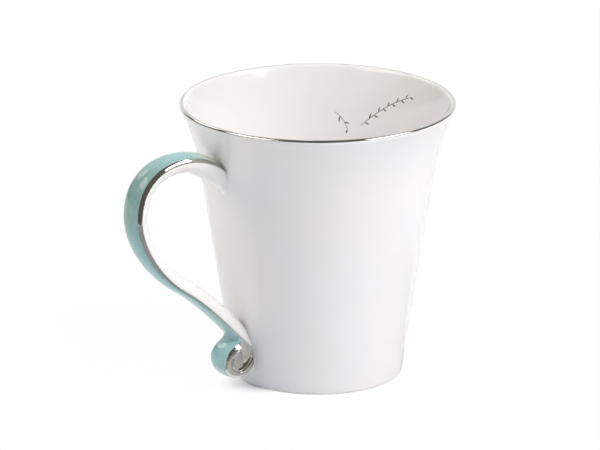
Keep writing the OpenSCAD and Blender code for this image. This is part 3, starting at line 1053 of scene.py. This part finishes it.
def whiteShareRoundSpot(tree):
    place = addNode(tree, "ShaderNodeNewGeometry")
    gap = addNode(tree, "ShaderNodeVectorMath", operation="DISTANCE")
    gap.inputs[1].default_value = [c * mm for c in floorLook["spot"]]
    reach = addNode(tree, "ShaderNodeMapRange", interpolation_type="SMOOTHSTEP")
    reach.inputs["From Min"].default_value = floorLook["spotFrom"] * mm
    reach.inputs["From Max"].default_value = floorLook["spotTo"] * mm
    reach.inputs["To Min"].default_value = floorLook["spotWhiteShare"]
    reach.inputs["To Max"].default_value = floorLook["whiteShare"]
    tree.links.new(place.outputs["Position"], gap.inputs[0])
    tree.links.new(gap.outputs["Value"], reach.inputs["Value"])
    return reach.outputs["Result"]


def whiten(tree, shaderOut, whiteKind, output, rays, share=None):
    # what the named rays see of a pale surface is lifted towards white by a share, or wholly
    path = addNode(tree, "ShaderNodeLightPath")
    seen = path.outputs[rays[0]]
    for ray in rays[1:]:
        either = addNode(tree, "ShaderNodeMath", operation="MAXIMUM")
        tree.links.new(seen, either.inputs[0])
        tree.links.new(path.outputs[ray], either.inputs[1])
        seen = either.outputs["Value"]
    amount = addNode(tree, "ShaderNodeMath", operation="MULTIPLY")
    amount.inputs[1].default_value = 1.0
    tree.links.new(seen, amount.inputs[0])
    if share:
        tree.links.new(share, amount.inputs[1])
    white = addNode(tree, whiteKind, in_Color=(1, 1, 1, 1), in_Strength=1.0)
    mixer = addNode(tree, "ShaderNodeMixShader")
    tree.links.new(amount.outputs["Value"], mixer.inputs["Fac"])
    tree.links.new(shaderOut, mixer.inputs[1])
    tree.links.new(white.outputs[0], mixer.inputs[2])
    tree.links.new(mixer.outputs["Shader"], output.inputs["Surface"])


def makeFloor():
    size = floorLook["size"]
    corners = [(x * size * mm, y * size * mm, -floorLook["drop"] * mm)
               for x, y in ((-1, -1), (1, -1), (1, 1), (-1, 1))]
    mesh = bpy.data.meshes.new("studioFloor")
    mesh.from_pydata(corners, [], [[0, 1, 2, 3]])
    material, tree, shader = newMaterial("studioFloor")
    shader.inputs["Base Color"].default_value = floorLook["tone"]
    shader.inputs["Roughness"].default_value = floorLook["rough"]
    whiten(tree, shader.outputs["BSDF"], "ShaderNodeEmission", tree.nodes["Material Output"],
           ("Is Camera Ray", "Is Glossy Ray", "Is Transmission Ray"), whiteShareRoundSpot(tree))
    mesh.materials.append(material)
    floor = bpy.data.objects.new("studioFloor", mesh)
    scene.collection.objects.link(floor)


studio = {
    "world": (0.137, 0.193, 0.255), "distance": 2.0, "aim": (0, 0, 0.05),
    "room": (0.15, 0.142, 0.125),   # a dim room that only gloss sees, for the metal's dark stretches
    # turn from the camera's side of the mug, height angle, size, watts, tint
    "lamps": {
        "keyLamp": (51, 50, 1.2, 33.0, (1.0, 0.965, 0.955)),
        "leftFill": (-98, 36, 1.4, 15.0, (1.0, 0.885, 0.77)),
        "backLamp": (180, 50, 0.9, 9.5, (1.0, 0.95, 0.9)),
        "sideLamp": (80, 25, 0.9, 2.6, (1.0, 0.93, 0.93)),
    },
    # cards that only gloss shows: turn, height angle, distance, width and height, tint, strength
    "cards": {
        "leftWindow": (-70, 46, 2.0, (1.3, 0.8), (1.0, 1.0, 0.94), 3.4),
        "softbox": (72, 42, 2.0, (1.22, 0.66), (1.0, 0.99, 0.97), 6.0),
        "rearWindow": (-128, 36, 2.0, (0.5, 0.7), (1.0, 1.0, 0.96), 3.0),
        "backdropTall": (180, 27, 2.0, (3.4, 3.0), (0.97, 0.99, 1.0), 0.95),
        "darkFlag": (-12, 12, 0.2, (0.26, 0.16), (1.0, 0.95, 0.85), 0.13),
    },
    # cards that lie on the floor, for gloss only: place, width and length, tint, strength
    "floorCards": {
        "floorCard": ((-0.13, -0.09, 0.0008), (0.16, 0.22), (0.97, 0.98, 1.0), 0.38),
        "faceCard": ((0.035, -0.09, 0.0008), (0.17, 0.16), (1.0, 0.99, 0.97), 0.58),
    },
}
aim = Vector(studio["aim"])


def makeWorld():
    world = bpy.data.worlds.new("studioWorld")
    world.use_nodes = True
    scene.world = world
    tree = world.node_tree
    sky = tree.nodes["Background"]
    sky.inputs["Color"].default_value = (*studio["world"], 1)
    room = addNode(tree, "ShaderNodeBackground", in_Color=(*studio["room"], 1))
    path = addNode(tree, "ShaderNodeLightPath")
    glossy = addNode(tree, "ShaderNodeMixShader")
    tree.links.new(path.outputs["Is Glossy Ray"], glossy.inputs["Fac"])
    tree.links.new(sky.outputs["Background"], glossy.inputs[1])
    tree.links.new(room.outputs["Background"], glossy.inputs[2])
    whiten(tree, glossy.outputs["Shader"], "ShaderNodeBackground", tree.nodes["World Output"],
           ("Is Camera Ray",))


def around(turn, height, distance):
    # a place round the mug, its turn counted from the camera's side, positive to the right
    a, e = math.radians(view["azimuth"] - 90 + turn), math.radians(height)
    return Vector((math.cos(a) * math.cos(e), math.sin(a) * math.cos(e), math.sin(e))) * distance + aim


def areaLight(name, turn, height, size, watts, tint):
    data = bpy.data.lights.new(name, "AREA")
    data.size = size
    data.energy = watts
    data.color = tint
    lamp = bpy.data.objects.new(name, data)
    lamp.location = around(turn, height, studio["distance"])
    lamp.rotation_euler = (aim - lamp.location).to_track_quat("-Z", "Y").to_euler()
    lamp.visible_glossy = False
    scene.collection.objects.link(lamp)


def card(name, size, tint, strength):
    # a glowing card or window that shows only in reflections
    x, y = size[0] / 2, size[1] / 2
    mesh = bpy.data.meshes.new(name)
    mesh.from_pydata([(-x, -y, 0), (x, -y, 0), (x, y, 0), (-x, y, 0)], [], [[0, 1, 2, 3]])
    material, tree, shader = newMaterial(name)
    shader.inputs["Base Color"].default_value = (0, 0, 0, 1)
    shader.inputs["Specular IOR Level"].default_value = 0
    shader.inputs["Emission Color"].default_value = (*tint, 1)
    shader.inputs["Emission Strength"].default_value = strength
    mesh.materials.append(material)
    plane = bpy.data.objects.new(name, mesh)
    plane.visible_camera = False
    plane.visible_diffuse = False
    plane.visible_shadow = False
    scene.collection.objects.link(plane)
    return plane


def hangCard(name, turn, height, distance, *look):
    plane = card(name, *look)
    plane.location = around(turn, height, distance)
    plane.rotation_euler = (aim - plane.location).to_track_quat("Z", "Y").to_euler()


placeCamera()
makeFloor()
makeWorld()
for lampName, lampSettings in studio["lamps"].items():
    areaLight(lampName, *lampSettings)
for cardName, cardSettings in studio["cards"].items():
    hangCard(cardName, *cardSettings)
for cardName, (place, *look) in studio["floorCards"].items():
    card(cardName, *look).location = place

scene.view_settings.view_transform = "Standard"
print("stage: studio lit")
